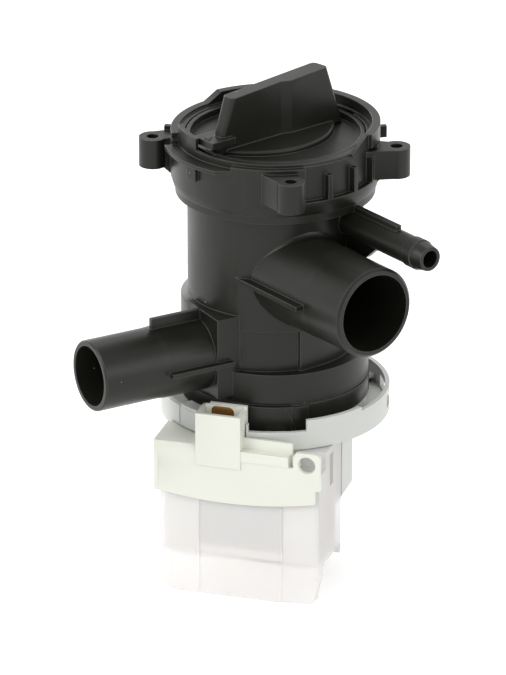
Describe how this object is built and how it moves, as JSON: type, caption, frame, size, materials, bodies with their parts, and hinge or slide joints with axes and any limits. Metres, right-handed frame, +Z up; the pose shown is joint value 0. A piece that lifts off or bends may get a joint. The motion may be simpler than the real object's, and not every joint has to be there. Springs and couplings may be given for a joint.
{
  "type": "washer drain pump",
  "caption": "Black filter housing with screw cap, side inlet, side outlet and small vent nipple above a white flanged motor with a milky coil case and a cream terminal cover.",
  "frame": {"origin": "centre of the rotor can's closed end on the pump axis, in the plane that the pump stands on", "axes": "+Z up along the pump axis towards the filter cap, +X along the inlet towards its mouth, +Y completes the right-hand frame"},
  "size_m": [0.1373, 0.1416, 0.2121],
  "materials": {
    "black_plastic": "satin",
    "black_cap": "satin",
    "black_filter": "satin",
    "white_plastic": "satin",
    "cream_plastic": "satin",
    "milky_plastic": "gloss",
    "impeller_plastic": "satin",
    "bobbin_plastic": "satin",
    "seal_rubber": "matt",
    "laminations": "stacked sheet edges",
    "copper_winding": "enamelled",
    "terminal_brass": "bright",
    "bearing_bronze": "sintered",
    "shaft_steel": "ground",
    "magnet_ferrite": "ground",
    "rotor_plastic": "satin",
    "cutout_plastic": "satin"
  },
  "bodies": {
    "housing": {"pump_housing": "black_plastic", "motor_flange": "white_plastic", "housing_seal": "seal_rubber", "bearing_plate": "rotor_plastic", "front_bearing_mount": "seal_rubber", "rear_bearing_mount": "seal_rubber", "front_bearing": "bearing_bronze", "rear_bearing": "bearing_bronze", "stator_core": "laminations", "coil_bobbin_left": "bobbin_plastic", "coil_bobbin_right": "bobbin_plastic", "coil_winding_left": "copper_winding", "coil_winding_right": "copper_winding", "coil_case": "milky_plastic", "terminal_cover": "cream_plastic", "terminal_blades": "terminal_brass", "thermal_cutout": "cutout_plastic"},
    "rotor": {"rotor_shaft": "shaft_steel", "rotor_magnet": "magnet_ferrite", "rotor_hub": "rotor_plastic", "thrust_washers": "rotor_plastic", "drive_dog": "rotor_plastic"},
    "impeller": {"impeller": "impeller_plastic"},
    "filter": {"lint_filter": "black_filter"},
    "cap": {"filter_cap": "black_cap", "cap_seal": "seal_rubber"}
  },
  "joints": [
    {"name": "rotor_spin", "type": "hinge", "parent": "housing", "child": "rotor", "pos_m": [0, 0, 0.05], "axis": [0, 0, 1], "continuous": true},
    {"name": "impeller_play", "type": "hinge", "parent": "rotor", "child": "impeller", "pos_m": [0, 0, 0.095], "axis": [0, 0, 1], "range_deg": [-110, 110]},
    {"name": "cap_lift", "type": "slide", "parent": "housing", "child": "filter", "axis": [0, 0, 1], "range_m": [0, 0.005]},
    {"name": "cap_turn", "type": "hinge", "parent": "filter", "child": "cap", "pos_m": [0, 0, 0.187], "axis": [0, 0, 1], "range_deg": [0, 80]}
  ],
  "couplings": [
    {"joint": "cap_lift", "follows": "cap_turn", "m_per_rad": 0.00358}
  ]
}
